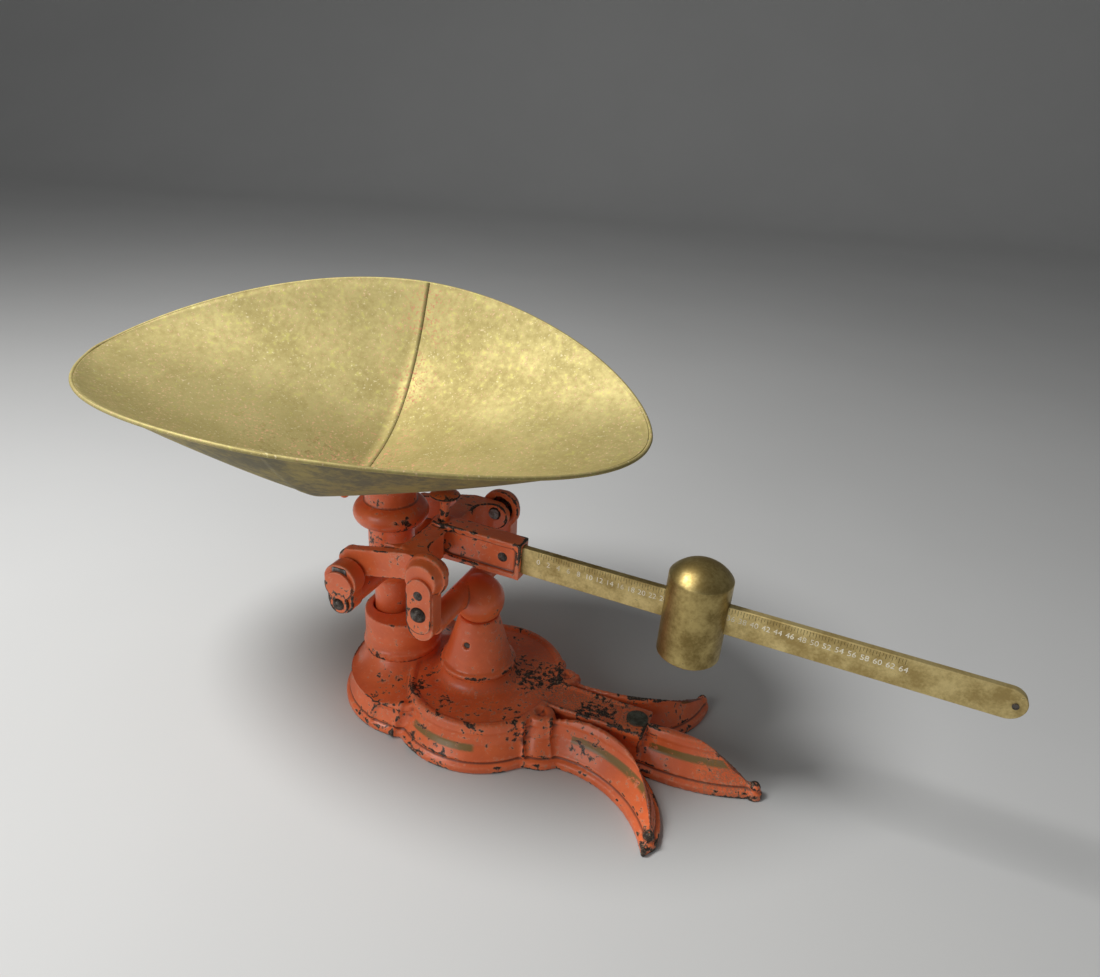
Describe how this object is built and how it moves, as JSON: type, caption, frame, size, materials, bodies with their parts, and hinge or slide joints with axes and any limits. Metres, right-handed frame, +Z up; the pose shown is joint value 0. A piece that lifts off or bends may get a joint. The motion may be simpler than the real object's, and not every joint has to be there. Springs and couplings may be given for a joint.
{
  "type": "counter beam scale with scoop",
  "caption": "Counter scale: a loose brass scoop on a load column, an unequal arm beam with a sliding poise, and a low cast base with pedestals.",
  "frame": {"origin": "on the floor, under the axis of the load column", "axes": "+X along the beam towards its tip, +Y away from the front, +Z up"},
  "size_m": [0.5289, 0.2169, 0.2408],
  "materials": {
    "red_paint": "worn gloss enamel on cast iron, chipped at the edges",
    "knob_paint": "worn enamel",
    "bar_brass": "aged brass, dull",
    "poise_brass": "aged brass, brownish",
    "scoop_brass": "thin brass sheet, tarnished and mottled",
    "disc_steel": "dull steel",
    "iron": "dark cast iron",
    "knife_steel": "ground steel",
    "rivet_steel": "dark steel, rust in the edges"
  },
  "bodies": {
    "base": {"base": "red_paint", "tail_disc": "disc_steel", "stand_pin": "rivet_steel", "fulcrum_stand": "red_paint", "fulcrum_bearing_front": "knife_steel", "fulcrum_bearing_back": "knife_steel", "fulcrum_cover_front": "red_paint", "fulcrum_cover_back": "red_paint", "fulcrum_rivets_front": "rivet_steel", "fulcrum_rivets_back": "rivet_steel", "link_pin": "rivet_steel"},
    "beam": {"lever": "red_paint", "fulcrum_knife_front": "knife_steel", "fulcrum_knife_back": "knife_steel", "load_knife_front": "knife_steel", "load_knife_back": "knife_steel", "bar": "bar_brass", "bar_rivet": "rivet_steel", "stop_pin": "rivet_steel", "balance_knob": "knob_paint"},
    "poise": {"poise": "poise_brass"},
    "column": {"column": "red_paint", "load_bearing_front": "knife_steel", "load_bearing_back": "knife_steel", "load_cover_front": "red_paint", "load_cover_back": "red_paint", "load_rivet_front": "rivet_steel", "load_rivet_back": "rivet_steel", "cradle": "red_paint", "column_pin": "rivet_steel"},
    "check_link": {"check_link": "iron"},
    "scoop": {"scoop_left": "scoop_brass", "scoop_right": "scoop_brass", "scoop_rim": "scoop_brass"}
  },
  "joints": [
    {"name": "beam_tilt", "type": "hinge", "parent": "base", "child": "beam", "pos_m": [0.0515, 0, 0.1145], "axis": [0, 1, 0], "range_deg": [-4, 0]},
    {"name": "column_level", "type": "hinge", "parent": "beam", "child": "column", "pos_m": [-0.00016, 0, 0.10758], "axis": [0, 1, 0], "range_deg": [0, 4]},
    {"name": "link_swing", "type": "hinge", "parent": "base", "child": "check_link", "pos_m": [0.0515, 0, 0.019], "axis": [0, 1, 0], "range_deg": [-4, 0]},
    {"name": "poise_slide", "type": "slide", "parent": "beam", "child": "poise", "axis": [0.9998, 0, -0.0209], "range_m": [-0.082, 0.136]},
    {"name": "scoop_lift", "type": "slide", "parent": "column", "child": "scoop", "axis": [0, 0, 1], "range_m": [0, 0.1]}
  ],
  "couplings": [
    {"joint": "column_level", "follows": "beam_tilt", "ratio": -1},
    {"joint": "link_swing", "follows": "beam_tilt", "ratio": 1}
  ]
}
